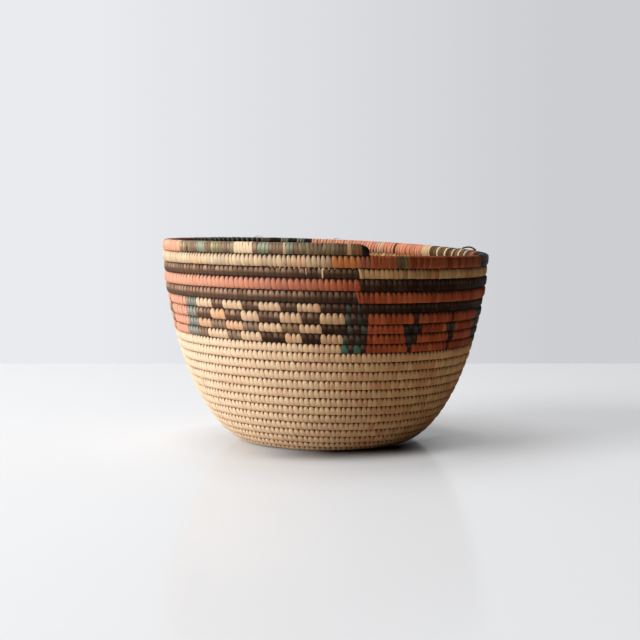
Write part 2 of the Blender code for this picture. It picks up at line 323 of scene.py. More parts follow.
# %% [markdown]
# Every stitch
#
# A stitch is one wrap of a flat splint, a little over four millimetres wide. The row above
# pulls the wraps apart where it is sewn in, so on the outside each one narrows to a rounded tooth
# at its top and a dark hole shows on each side. On the inside the holes are at the bottom. The
# wrap leans a little back outside, and inside it leans on by more than a width, because in all it
# has to move on by one width each round. Each wrap is a strip of few faces, and thousands of them
# are worked out as one array. Some runs are sewn with two or three splints in turn.

# %% How wide each stitch is, dye by dye
PITCHES = {"natural": 0.00423, "khaki": 0.0038, "khaki_olive": 0.0038, "cream": 0.0039}
RIM_PITCH, DYED_PITCH, WIDTH_VARIES = 0.0029, 0.0047, 0.13
TWISTS = {
    "bar": ("green", "dark"), "bright_bar": ("teal", "dark"),
    "khaki_olive": ("khaki", "olive_khaki", "khaki"),
    "mottled": ("olive", "brown", "olive", "brown", "dark"), "twist": ("black", "green"),
    "brown_twist": ("brown", "black"), "pale_twist": ("brown", "brown", "ivory", "olive"),
    "pink_coral": ("pale_coral", "pale_coral", "salmon"),
}


def cut_stitches():
    """Edges of every stitch along the coil, with its dye. Widths vary by hand, runs end true."""
    bounds = np.array([turn for turn, _ in RUNS] + [TOTAL_TURNS], float)
    starts, ends, dyes = [], [], []
    for k, (turn, dye) in enumerate(RUNS):
        first, last = run_at(bounds[k]), run_at(bounds[k + 1])
        pitch = PITCHES.get(dye, DYED_PITCH)
        if turn > TOTAL_TURNS - 1.0001:
            pitch = RIM_PITCH
        count = max(1, round((last - first) / pitch))
        shift = rng.uniform(-WIDTH_VARIES, WIDTH_VARIES, count + 1)
        shift[[0, -1]] = 0
        edges = first + (np.arange(count + 1) + shift) * (last - first) / count
        starts.append(edges[:-1])
        ends.append(edges[1:])
        turns = TWISTS.get(dye, (dye,))
        dyes += [turns[n % len(turns)] for n in range(count)]
    return np.concatenate(starts), np.concatenate(ends), np.array(dyes)


FIRST, LAST, DYE = cut_stitches()
print("stitches:", len(DYE))

# %% The strip that one wrap follows
AROUND = np.radians([-98, -72, -50, -28, -6, 16, 38, 57, 74, 92, 128, 165, 200, 235, 262])
ACROSS = np.array([-1.0, -0.72, 0.0, 0.72, 1.0])
SPLINT = 0.0010  # thickness of a splint, wrapped and pressed
WRAP_RADIUS = 0.0045  # metres of splint for each radian round the row, for the UV map
# Angle round the row, share of its room that a stitch fills, share of a splint its edge dips.
WRAP_SHARES = np.array([
    (-98, 0.86, 0.90), (-72, 0.94, 0.60), (-50, 0.99, 0.34), (-28, 1.02, 0.20), (-6, 1.02, 0.20),
    (16, 0.99, 0.36), (38, 0.89, 0.85), (57, 0.70, 1.20), (74, 0.50, 1.30), (92, 0.36, 1.20),
    (128, 0.95, 0.50), (165, 1.03, 0.15), (200, 1.00, 0.35), (235, 0.82, 1.10), (262, 0.50, 1.20)])
# How much of the narrowing and the dip is left where a dye is sewn more smoothly.
CALM = {"natural": 0.92, "khaki": 0.55, "olive_khaki": 0.55}
# By hand: how much the narrowing varies, how far a stitch stands off, and how far it leans.
TOOTH_LEAST, TOOTH_MOST, EDGE_VARIES, CREST_VARIES = 0.7, 1.15, 0.02, 0.00008
WALL_LEAN, WALL_LEAN_VARIES, RIM_LEAN, RIM_LEAN_VARIES = 0.3, 0.08, 0.1, 0.16
# The rim is sewn over no row above: full stitches, edges barely dipped, but open at the back.
RIM_FILL, RIM_DIP, BACK_DIP, RIM_BACK = 1.02, 0.10, 0.45, (100, 240)
# Its stitches sway in groups, less at the back: how far, and two lengths in metres per radian.
SWAY, BACK_SWAY, SWAY_SHORT, SWAY_LONG = 0.9, 0.25, 0.0052, 0.0173


def stitch_arrays(pick):
    """Points, UVs and values of the picked stitches: strips along the wrap, lens-shaped across.

    A strip's half width is the stitch's own times a share that depends on the angle round the
    row. Its middle line moves on by one stitch each round. Its depth below the skin grows from
    none in the middle to a share of a splint at its edges, which is more than one where it
    dips into the bundle. At the back, the rim's stitches hang a little over the row below.
    """
    first, last = FIRST[pick][:, None, None], LAST[pick][:, None, None]
    count = len(first)
    middle, half_width = (first + last) / 2, (last - first) / 2
    angles = np.radians(WRAP_SHARES[:, 0])
    tooth, dip = (np.interp(AROUND, angles, WRAP_SHARES[:, c])[None, :, None] for c in (1, 2))
    tooth = 1 - (1 - tooth) * rng.uniform(TOOTH_LEAST, TOOTH_MOST, (count, 1, 1))
    place = turn_at(middle)
    on_rim = place > TOTAL_TURNS - 1
    back_first, back_last = (at_turn(len(ROW_SHARES) - 1, angle) for angle in RIM_BACK)
    at_back = on_rim & (place > back_first) & (place < back_last)
    calm = np.array([CALM.get(dye, 1.0) for dye in DYE[pick]])[:, None, None]
    tooth = np.where(on_rim, RIM_FILL, 1 - (1 - tooth) * calm)
    dip = np.where(at_back, BACK_DIP, np.where(on_rim, RIM_DIP, dip * (0.3 + 0.7 * calm)))
    tooth = tooth * (1 + EDGE_VARIES * rng.standard_normal((count, len(AROUND), 1)))
    outside = np.clip(AROUND, -math.pi / 2, math.pi / 2)[None, :, None] / math.pi
    inside = np.clip(AROUND - math.pi / 2, 0, math.pi)[None, :, None] / math.pi
    slant = np.where(on_rim, RIM_LEAN_VARIES, WALL_LEAN_VARIES)
    slant = slant * rng.standard_normal((count, 1, 1))
    sway = SWAY * np.sin(middle / SWAY_SHORT) * np.sin(middle / SWAY_LONG + 1)
    slant = slant - np.where(on_rim, RIM_LEAN + np.where(at_back, BACK_SWAY, 1) * sway, WALL_LEAN)
    step = 2 * half_width * (slant * outside + (1 - slant) * inside)
    run = middle + step + half_width * tooth * ACROSS[None, None, :]
    crest = rng.normal(0, CREST_VARIES, (count, 1, 1))
    hang = np.interp(AROUND, np.radians([150, 200, 262]), [0, 0.0007, 0.0016])[None, :, None]
    depth = SPLINT * dip * np.abs(ACROSS) ** 2.6 + crest - np.where(at_back, hang, 0)
    around = np.broadcast_to(AROUND[None, :, None], run.shape)
    points = skin_point(turn_at(run), around, depth)
    beside = np.broadcast_to(half_width * tooth * ACROSS, run.shape)
    uv = np.stack([beside, WRAP_RADIUS * around], axis=-1)
    chance = np.broadcast_to(rng.random((count, 1, 1, 3)), (*run.shape, 3))
    rows = {
        "chance": chance.reshape(-1, 3),
        "across": np.broadcast_to(ACROSS, run.shape).ravel(),
        "around": around.ravel(),
        "along": np.broadcast_to(middle, run.shape).ravel(),
    }
    return points.reshape(-1, 3), uv.reshape(-1, 2), rows


def strip_faces(count, rows):
    """Faces of many strips at once: one strip's faces, moved on by its number of points."""
    one = grid_faces(rows, len(ACROSS))[:, ::-1]
    return (one + rows * len(ACROSS) * np.arange(count)[:, None, None]).reshape(-1, 4)


def sew(name, pick):
    """One mesh of all the picked stitches."""
    points, uv, rows = stitch_arrays(pick)
    return mesh_piece(name, points, strip_faces(int(pick.sum()), len(AROUND)), uv, **rows)


print("faces in one stitch:", len(strip_faces(1, len(AROUND))))

# %% [markdown]
# The dyes
#
# Palm splint takes dye unevenly: fibres run along the stitch in fine streaks, and each splint
# comes from another leaf and so has its own shade. The crown of every stitch is worn paler and
# carries a painted highlight. The edges are darker with painted shade, as in the creases between
# stitches, and a few patches are dirty. These effects are the same for every dye, so they are
# shader groups, and each material gives them its own colours.

# %% A small helper for shader nodes
def group(name, inputs, outputs):
    """A new node group with named sockets, and its input and output nodes."""
    tree = bpy.data.node_groups.new(name, "ShaderNodeTree")
    kinds = {"colour": "NodeSocketColor", "value": "NodeSocketFloat", "vector": "NodeSocketVector"}
    for title, kind, value in inputs:
        socket = tree.interface.new_socket(title, in_out="INPUT", socket_type=kinds[kind])
        if value is not None:
            socket.default_value = value
    for title, kind in outputs:
        tree.interface.new_socket(title, in_out="OUTPUT", socket_type=kinds[kind])
    return tree, tree.nodes.new("NodeGroupInput"), tree.nodes.new("NodeGroupOutput")


def node(tree, kind, **settings):
    """A new node: plain settings are set on it, and those in sockets fill or link its inputs."""
    sockets = settings.pop("sockets", {})
    made = tree.nodes.new(kind)
    for key, value in settings.items():
        setattr(made, key, value)
    for key, value in sockets.items():
        if isinstance(value, bpy.types.NodeSocket):
            tree.links.new(value, made.inputs[key])
        else:
            made.inputs[key].default_value = value
    return made


def maths(tree, operation, first, second=0.0, clamp=False):
    """One sum, product or the like of two values."""
    made = node(tree, "ShaderNodeMath", operation=operation, use_clamp=clamp,
                sockets={0: first, 1: second})
    return made.outputs[0]


def blend(tree, share, first, second):
    """First colour where the share is 0, second where it is 1."""
    made = node(tree, "ShaderNodeMix", data_type="RGBA", sockets={0: share, 6: first, 7: second})
    return made.outputs[2]


def ramp(tree, value, low, high):
    """0 below low, 1 above high, smooth between."""
    made = node(tree, "ShaderNodeMapRange", interpolation_type="SMOOTHSTEP",
                sockets={"Value": value, "From Min": low, "From Max": high})
    return made.outputs[0]


def slope(tree, value, low, high, least=0.0):
    """As ramp, but straight, and never below the least."""
    made = node(tree, "ShaderNodeMapRange", sockets={
        "Value": value, "From Min": low, "From Max": high, "To Min": least})
    return made.outputs[0]


def new_material(name):
    """A material with nodes, its tree and its Principled shader."""
    material = bpy.data.materials.new(name)
    material.use_nodes = True
    return material, material.node_tree, material.node_tree.nodes["Principled BSDF"]


# %% Fibres that run along a stitch
# Streaks are noise squeezed along the wrap, and shifted far enough that no two stitches match.
STREAK_LENGTHENING, STREAK_SHIFT = 0.28, 40.0


def fibre_group():
    """Streaks: noise drawn out along the wrap, shifted by each stitch's own chance."""
    tree, start, end = group("palm fibres", [("Fineness", "value", 4.0)],
                             [("Streak", "value"), ("Height", "value"), ("Chance", "vector")])
    uv = node(tree, "ShaderNodeUVMap", uv_map="splint")
    chance = node(tree, "ShaderNodeAttribute", attribute_name="chance")
    parts = node(tree, "ShaderNodeSeparateXYZ", sockets={0: uv.outputs[0]})
    luck = node(tree, "ShaderNodeSeparateXYZ", sockets={0: chance.outputs["Vector"]})
    wide = maths(tree, "MULTIPLY", parts.outputs[0], start.outputs["Fineness"])
    long = maths(tree, "MULTIPLY", parts.outputs[1], STREAK_LENGTHENING)
    shift = maths(tree, "MULTIPLY", luck.outputs[0], STREAK_SHIFT)
    place = node(tree, "ShaderNodeCombineXYZ", sockets={0: wide, 1: long, 2: shift})
    broad = node(tree, "ShaderNodeTexNoise", sockets={"Vector": place.outputs[0], "Scale": 1.0,
                                                      "Detail": 3.0, "Roughness": 0.6})
    found = (broad.outputs["Fac"], broad.outputs["Fac"], chance.outputs["Vector"])
    for index, output in enumerate(found):
        tree.links.new(output, end.inputs[index])
    return tree


FIBRES = fibre_group()
print("made the shader group:", FIBRES.name)

# %% Dye, stains, bleaching and painted light, wear and painted highlights, dirt and painted shade
# Metres right of the middle: the window side is painted paler, partly sun-bleaching and partly
# painted light, and the painted highlight on the crowns fades out away from it.
PALER_FROM, PALER_TO = -0.15, 0.09
HIGHLIGHT_FROM, HIGHLIGHT_TO, HIGHLIGHT_LOSS = -0.08, 0.05, 0.85


def dye_group():
    """Colour and roughness of a splint from its dye, its chance, the streaks and the wear.

    A stitch is a mix of its dye and its deep colour by streak and by chance. Some groups of
    stitches and some single ones are stained. The side towards the window is painted paler, partly
    sun-bleaching and partly painted light. The crown of each stitch is worn paler and carries a
    painted highlight, mostly on the window side; its edges are darkened with painted shade, and a
    few patches are dirty.
    """
    inputs = [("Dye", "colour", None), ("Deep", "colour", None), ("Faded and lit", "colour", None),
              ("Shade and grime", "colour", (0.07, 0.035, 0.016, 1)), ("Uneven", "value", 0.5),
              ("Wear and highlight", "value", 0.3), ("Crown angle", "value", 0.5), ("Bleached and lit", "value", 0.6),
              ("Stain", "colour", (0.4, 0.17, 0.07, 1)), ("Stained", "value", 0.4),
              ("Streak", "value", 0.5), ("Chance", "vector", None), ("Edges", "value", 0.2),
              ("Polish", "value", 0.2), ("Paleness falloff", "value", 1.0)]
    tree, start, end = group("dyed splint", inputs, [("Colour", "colour"), ("Roughness", "value")])
    take = start.outputs
    luck = node(tree, "ShaderNodeSeparateXYZ", sockets={0: take["Chance"]})
    across = node(tree, "ShaderNodeAttribute", attribute_name="across").outputs["Fac"]
    around = node(tree, "ShaderNodeAttribute", attribute_name="around").outputs["Fac"]
    place = node(tree, "ShaderNodeTexCoord").outputs["Object"]
    patches = node(tree, "ShaderNodeTexNoise", sockets={"Vector": place, "Scale": 24.0,
                                                        "Detail": 2.0}).outputs["Fac"]
    streak = maths(tree, "SUBTRACT", take["Streak"], 0.5)
    shade = maths(tree, "ADD", maths(tree, "MULTIPLY", streak, 1.5), luck.outputs[1])
    shade = maths(tree, "MULTIPLY", shade, take["Uneven"], clamp=True)
    colour = blend(tree, shade, take["Dye"], take["Deep"])
    along = node(tree, "ShaderNodeAttribute", attribute_name="along").outputs["Fac"]
    clusters = node(tree, "ShaderNodeTexNoise", noise_dimensions="1D", sockets={
        "W": along, "Scale": 30.0, "Detail": 2.0}).outputs["Fac"]
    odd = maths(tree, "ADD", ramp(tree, clusters, 0.54, 0.66),
                ramp(tree, luck.outputs[0], 0.84, 0.92))
    odd = maths(tree, "MULTIPLY", odd, take["Stained"], clamp=True)
    colour = blend(tree, odd, colour, take["Stain"])
    # Painted light, partly sun-bleaching: the side towards the window is blended to the pale
    # colour.
    side = node(tree, "ShaderNodeSeparateXYZ", sockets={0: place}).outputs[0]
    lit_side = maths(tree, "SUBTRACT", 1.0, ramp(tree, side, PALER_FROM, PALER_TO))
    lit_side = maths(tree, "POWER", lit_side, take["Paleness falloff"])
    bleached_and_lit = maths(tree, "MULTIPLY", lit_side, take["Bleached and lit"])
    colour = blend(tree, bleached_and_lit, colour, take["Faded and lit"])
    # Painted shade: the edges of each stitch are darkened, more towards its upper part.
    edge = ramp(tree, maths(tree, "ABSOLUTE", across), 0.6, 1.0)
    edge = maths(tree, "MULTIPLY", edge, maths(tree, "ADD", take["Edges"],
                                               ramp(tree, around, 0.1, 0.9)))
    # Painted highlight, partly real wear: the crown near its angle is blended to the pale colour,
    # by chance, mostly on the window side.
    off = maths(tree, "ABSOLUTE", maths(tree, "SUBTRACT", around, take["Crown angle"]))
    crown = maths(tree, "SUBTRACT", 1.0, ramp(tree, off, 0.0, 0.85))
    worn_and_highlit = maths(tree, "MULTIPLY", crown, maths(tree, "SUBTRACT", 1.0, edge))
    worn_and_highlit = maths(tree, "MULTIPLY", worn_and_highlit, maths(tree, "ADD", luck.outputs[2], 0.35))
    highlight_lost = maths(tree, "MULTIPLY", ramp(tree, side, HIGHLIGHT_FROM, HIGHLIGHT_TO), HIGHLIGHT_LOSS)
    worn_and_highlit = maths(tree, "MULTIPLY", worn_and_highlit, maths(tree, "SUBTRACT", 1.0, highlight_lost))
    worn_and_highlit = maths(tree, "MULTIPLY", worn_and_highlit, take["Wear and highlight"], clamp=True)
    colour = blend(tree, worn_and_highlit, colour, take["Faded and lit"])
    # The edge mask is painted shade in the creases; the noise patches are dirt.
    grimy = maths(tree, "MULTIPLY", ramp(tree, patches, 0.56, 0.78), 0.15)
    shade_and_grime = maths(tree, "ADD", maths(tree, "MULTIPLY", edge, 0.5), grimy)
    colour = blend(tree, shade_and_grime, colour, take["Shade and grime"])
    rough = maths(tree, "ADD", 0.66, maths(tree, "MULTIPLY", streak, 0.5))
    rough = maths(tree, "SUBTRACT", rough, maths(tree, "MULTIPLY", take["Polish"], 0.3))
    tree.links.new(colour, end.inputs[0])
    tree.links.new(rough, end.inputs[1])
    return tree


DYES = dye_group()
print("made the shader group:", DYES.name)

# %% One material for each dye
# How steeply the painted paleness of the window side, partly sun-bleaching and partly painted
# light, falls off away from the window, where it isn't even.
PALENESS_FALLOFF = {"coral": 1.8, "green": 1.5, "tan": 1.3}


def linear(red, green, blue):
    """A colour as the screen shows it, 0 to 255, in the linear light that shaders use."""
    share = np.array([red, green, blue]) / 255
    curve = np.where(share <= 0.04045, share / 12.92, ((share + 0.055) / 1.055) ** 2.4)
    return (*(float(c) for c in curve), 1.0)


def splint_material(name, dye, deep, faded_and_lit, stain, uneven, wear_and_highlight, angle, stained, bleached_and_lit, polish):
    """A Principled material of one dye: both groups in front of the shader, and a fibre bump."""
    material, tree, shader = new_material(f"{name} splint")
    shader.inputs["Specular IOR Level"].default_value = 0.03 + 0.15 * polish
    fibres = node(tree, "ShaderNodeGroup", node_tree=FIBRES)
    # The faded colour serves wear, bleaching and painted light alike; the edge weight sets the
    # painted shade at the stitch edges.
    dyed = node(tree, "ShaderNodeGroup", node_tree=DYES, sockets={
        "Dye": linear(*dye), "Deep": linear(*deep), "Faded and lit": linear(*faded_and_lit),
        "Stain": linear(*stain), "Stained": stained, "Uneven": uneven, "Wear and highlight": wear_and_highlight,
        "Crown angle": angle, "Bleached and lit": bleached_and_lit, "Streak": fibres.outputs["Streak"],
        "Chance": fibres.outputs["Chance"], "Polish": polish, "Edges": 0.25 + 0.9 * polish,
        "Paleness falloff": PALENESS_FALLOFF.get(name, 1.0), "Shade and grime": linear(*(np.array(deep) * 0.55))})
    bump = node(tree, "ShaderNodeBump", sockets={"Strength": 0.35, "Distance": 0.0003,
                                                 "Height": fibres.outputs["Height"]})
    tree.links.new(dyed.outputs["Colour"], shader.inputs["Base Color"])
    tree.links.new(dyed.outputs["Roughness"], shader.inputs["Roughness"])
    tree.links.new(bump.outputs[0], shader.inputs["Normal"])
    return material


# Dye, deep, faded-and-lit and stained colour; then unevenness, wear with its painted highlight,
# its angle, stains, bleaching with painted light, polish.
FINISHES = {
    "natural": ((204, 160, 109), (165, 114, 67), (237, 214, 186), (186, 120, 74),
        0.5, 0.3, 0.3, 0.6, 0.8, 0.0),
    "tan": ((190, 144, 99), (148, 102, 62), (234, 210, 180), (184, 120, 80),
        0.5, 0.45, 0.4, 0.4, 0.55, 0.1),
    "ivory": ((208, 179, 140), (184, 150, 108), (234, 215, 186), (220, 188, 144),
        0.4, 0.5, 0.3, 0.3, 0.5, 0.3),
    "cream": ((198, 158, 112), (112, 72, 38), (232, 213, 182), (186, 116, 58),
        0.9, 0.45, 0.3, 0.7, 0.5, 0.2),
    "khaki": ((202, 158, 108), (150, 108, 64), (222, 192, 148), (164, 98, 56),
        0.7, 0.5, 0.2, 0.5, 0.4, 0.1),
    "olive_khaki": ((172, 138, 92), (128, 98, 60), (202, 176, 132), (152, 98, 58),
        0.7, 0.4, 0.2, 0.4, 0.4, 0.1),
    "coral": ((162, 74, 39), (114, 42, 22), (230, 169, 142), (184, 96, 52),
        0.7, 0.2, 0.4, 0.4, 0.85, 0.1),
    "pale_coral": ((222, 154, 124), (186, 106, 76), (246, 208, 184), (212, 140, 100),
        0.7, 0.4, 0.6, 0.5, 0.3, 0.1),
    "orange": ((190, 118, 66), (144, 80, 40), (218, 156, 104), (160, 82, 44),
        0.5, 0.3, 0.3, 0.4, 0.3, 0.1),
    "pinkish": ((150, 82, 58), (116, 58, 38), (188, 126, 102), (150, 92, 50),
        0.5, 0.3, 0.3, 0.3, 0.3, 0.1),
    "rust": ((172, 90, 54), (98, 38, 19), (196, 118, 84), (136, 84, 50),
        0.95, 0.4, 0.9, 0.6, 0.3, 0.1),
    "dark": ((46, 22, 9), (16, 7, 2), (192, 153, 126), (58, 36, 20),
        0.8, 0.64, 0.56, 0.6, 0.18, 0.14),
    "black": ((28, 20, 16), (14, 10, 8), (84, 70, 60), (38, 26, 18),
        0.6, 0.3, 0.8, 0.3, 0.2, 0.4),
    "green": ((47, 50, 40), (26, 25, 18), (160, 158, 144), (50, 36, 26),
        0.9, 0.7, 0.3, 0.5, 0.55, 0.4),
    "teal": ((64, 104, 86), (42, 66, 54), (122, 158, 140), (50, 60, 48),
        0.7, 0.5, 0.3, 0.2, 0.3, 0.2),
    "mint": ((112, 114, 92), (66, 60, 44), (176, 180, 154), (110, 92, 66),
        0.9, 0.7, 0.3, 0.6, 0.28, 0.5),
    "olive": ((116, 98, 62), (60, 44, 24), (196, 182, 140), (96, 70, 46),
        1.0, 0.6, 0.3, 0.6, 0.28, 0.5),
    "brown": ((94, 64, 42), (44, 28, 17), (176, 148, 122), (104, 82, 56),
        1.0, 0.6, 0.25, 0.6, 0.32, 0.5),
    "maroon": ((96, 32, 26), (62, 20, 16), (140, 70, 60), (100, 44, 34),
        0.6, 0.3, 0.8, 0.3, 0.3, 0.3),
    "salmon": ((220, 150, 118), (190, 110, 80), (246, 205, 182), (232, 160, 110),
        0.5, 0.3, 0.5, 0.4, 0.2, 0.1),
    "amber": ((202, 146, 99), (166, 110, 68), (234, 198, 166), (196, 126, 82),
        0.6, 0.4, 0.4, 0.4, 0.4, 0.1),
    "umber": ((112, 78, 52), (76, 50, 32), (170, 142, 116), (130, 92, 60),
        0.8, 0.6, 0.4, 0.5, 0.2, 0.2),
    "sepia": ((40, 21, 10), (17, 9, 4), (150, 116, 92), (48, 30, 18),
        0.8, 0.5, 0.56, 0.5, 0.1, 0.2),
}
MATERIALS = {name: splint_material(name, *looks) for name, looks in FINISHES.items()}
print("dyes:", len(MATERIALS))

# %% [markdown]
# The bundle inside
#
# Between the stitches the grass bundle shows as a dark brown gap; its colours are darker than
# grass, as painted shade for the gaps. It is a plain tube just under the splints, with fine
# grooves that run along it, because grass stems lie side by side.

# %% The grass bundle
BUNDLE_SIDES, BUNDLE_RADIUS, BUNDLE_WORN = 12, 0.004, 0.0009
PRESSED = 1.3  # where rows touch, the bundle comes this many splints further out


def bundle_material(name, dark, pale):
    """Stems side by side: noise drawn out along the bundle, between a dark and a pale colour."""
    material, tree, shader = new_material(name)
    uv = node(tree, "ShaderNodeUVMap", uv_map="splint")
    stretch = node(tree, "ShaderNodeMapping", sockets={"Vector": uv.outputs[0],
                                                       "Scale": (0.15, 2.2, 1.0)})
    stems = node(tree, "ShaderNodeTexNoise", sockets={"Vector": stretch.outputs[0], "Scale": 1.0,
                                                      "Detail": 3.0}).outputs["Fac"]
    colour = blend(tree, ramp(tree, stems, 0.35, 0.7), linear(*dark), linear(*pale))
    bump = node(tree, "ShaderNodeBump", sockets={"Strength": 0.6, "Distance": 0.0004,
                                                 "Height": stems})
    tree.links.new(colour, shader.inputs["Base Color"])
    tree.links.new(bump.outputs[0], shader.inputs["Normal"])
    shader.inputs["Roughness"].default_value = 0.85
    return material


def bundle(name, first, last, material, nodes):
    """A tube along the coil, one splint under the skin, pressed onto its neighbours."""
    turns = np.linspace(first, last, round((last - first) * PER_TURN) + 1)
    around = np.linspace(-math.pi, math.pi, BUNDLE_SIDES + 1)
    turn, angle = np.meshgrid(turns, around, indexing="ij")
    touching = np.where((turn > TOTAL_TURNS - 1) & (np.sin(angle) > 0), 0, np.sin(angle) ** 2)
    points = skin_point(turn, angle, SPLINT * (1 - PRESSED * touching), BUNDLE_WORN)
    uv = np.stack([run_at(turn), BUNDLE_RADIUS * angle], axis=-1)
    faces = grid_faces(len(turns), len(around))
    piece = mesh_piece(name, points.reshape(-1, 3), faces, uv.reshape(-1, 2))
    piece.data.materials.append(material)
    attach(piece, "root")
    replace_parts(piece, *nodes)
    return piece


# Both bundle colours are darkened as painted shade for the gaps, the one under the dyed rows more.
GRASS = bundle_material("grass bundle", (46, 23, 9), (84, 50, 24))
DYED_GRASS = bundle_material("darker grass bundle", (22, 12, 7), (54, 32, 20))
natural = bundle("natural_bundle", 0, NATURAL_TURNS, GRASS, ["natural_coil"])
dyed = bundle("dyed_bundle", NATURAL_TURNS, TOTAL_TURNS, DYED_GRASS, ["grass_foundation"])
print("faces of the bundle:", len(natural.data.polygons) + len(dyed.data.polygons))

# %% [markdown]
# Sewing it all
#
# All stitches of one dye become one piece, so that a dye can be changed in one place. The
# natural stitches are most of the basket and are cut into several pieces by height.

# %% Natural stitches, base first
REPLACED = {
    "coral": [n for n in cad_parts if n.startswith("red_panel")] + ["coral_band"],
    "pale_coral": ["rim_coral_run"],
    "tan": [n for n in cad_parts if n.startswith("checker_panel")],
    "dark": ["lower_dark_band", "upper_dark_band"],
    "cream": ["cream_turn"], "orange": ["cream_turn_orange_end"], "rust": ["rim_rust_run"],
    "olive": ["rim_olive_run"], "green": ["rim_green_run"], "maroon": ["rim_maroon_run"],
    "salmon": ["rim_salmon_run"], "brown": ["rim_mottled_run"], "black": ["rim_tip"],
}


def dress(piece, dye):
    """Give a piece its dye's material and its body."""
    piece.data.materials.append(MATERIALS[dye])
    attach(piece, "root")
    return piece


STITCH_TURN = turn_at((FIRST + LAST) / 2)
NATURAL_PARTS = (("base_stitches", 0, 8), ("lower_wall_stitches", 8, 12.5),
                 ("middle_wall_stitches", 12.5, 17), ("upper_wall_stitches", 17, 22))
for name, low, high in NATURAL_PARTS:
    picked = (DYE == "natural") & (STITCH_TURN >= low) & (STITCH_TURN < high)
    dress(sew(name, picked), "natural")
    print(name, int(picked.sum()))

# %% Dyed stitches
for dye in FINISHES:
    if dye != "natural" and (DYE == dye).any():
        stitched = dress(sew(f"{dye}_stitches", DYE == dye), dye)
        if dye in REPLACED:
            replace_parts(stitched, *REPLACED[dye])
        print(dye, int((DYE == dye).sum()))

# %% [markdown]
# Stitches that reach down over the row below
#
# Here and there a stitch runs on over the dark row under it, and where the dye changes, the first
# stitch of the new dye lies aslant. In front, the cream stitches of the row under the rim also
# end in points that lap over the dark row's upper edge.

# %% Long and pointed stitches
# Row, angle, how far down it reaches round the row, half width, and lean as a length.
LONG = {"cream": ((6, 358.7, -75, 0.0009, 0.0), (6, 353.4, -20, 0.0006, 0.0004),
                  (6, 370.9, -70, 0.0013, 0.0034)),
        "coral": ((4, 370.3, -70, 0.0013, 0.0034),)}
LYING_ROWS, ROW_TOP = 9, math.radians(96)
# The row under the rim ends in points between these angles, seen in front.
POINTED_FIRST, POINTED_LAST = 341, 369


def lying_strips(name, dye, turn, lowest, half_width, lean):
    """Pointed strips over a row: from its top down to the lowest angle, leaning by a length."""
    share = np.linspace(0, 1, LYING_ROWS)[None, :, None]
    count = len(turn)
    turn, lowest, half_width, lean = (np.reshape(v, (count, 1, 1)) for v in
                                      (turn, lowest, half_width, lean))
    around = ROW_TOP + (lowest - ROW_TOP) * share
    wide = half_width * np.sqrt(1 - 0.97 * share**3)
    run = run_at(turn) + lean * (share - 0.5) + wide * ACROSS
    depth = -0.0005 * np.sin(math.pi * (0.12 + 0.8 * share)) + 0.0006 * np.abs(ACROSS) ** 3
    around = np.broadcast_to(around, run.shape)
    points = skin_point(turn_at(run), around, depth)
    uv = np.stack([np.broadcast_to(wide * ACROSS, run.shape), WRAP_RADIUS * around], axis=-1)
    chance = np.broadcast_to(rng.random((count, 1, 1, 3)), (*run.shape, 3)).reshape(-1, 3)
    return dress(mesh_piece(name, points.reshape(-1, 3), strip_faces(count, LYING_ROWS),
                            uv.reshape(-1, 2), chance=chance,
                            across=np.broadcast_to(ACROSS, run.shape).ravel(),
                            around=np.full(run.size, 0.1)), dye)


for dye, places in LONG.items():
    row, angle, lowest, half_width, lean = np.array(places).T
    lying_strips(f"long_{dye}_stitches", dye, at_turn(row, angle), np.radians(lowest),
                 half_width, lean)
in_front = STITCH_TURN > at_turn(7, POINTED_FIRST)
in_front &= STITCH_TURN < at_turn(7, POINTED_LAST)
tips = int(in_front.sum())
lying_strips("pointed_stitch_ends", "cream", STITCH_TURN[in_front] - 1,
             np.radians(rng.uniform(30, 62, tips)), rng.uniform(0.0009, 0.0014, tips),
             rng.uniform(-0.0003, 0.0009, tips))
print("pointed ends:", tips)

# %% [markdown]
# The button
#
# In the middle of the base the bundle's thin end is hooked on itself and covered with stitches
# that meet at the centre, like slices. The button's edge is a short spiral, because it fills the
# space up to the first turn, which lies further out all the time.

# %% Stitched button
SLICES, STEPS_IN_SLICE = 14, 8
# Shares of the radius from the middle of the top, over the edge, to the middle underneath.
BUTTON_SHARES = np.array([0.0, 0.08, 0.25, 0.5, 0.75, 0.92, 1.0, 0.97, 0.6, 0.0])
EDGE_LEVEL = 6
DIMPLE, EDGE_DROP, GROOVE, SIDE_HEIGHT, UNDERSIDE = 0.0014, 0.0024, 0.0006, 0.0016, 0.0002


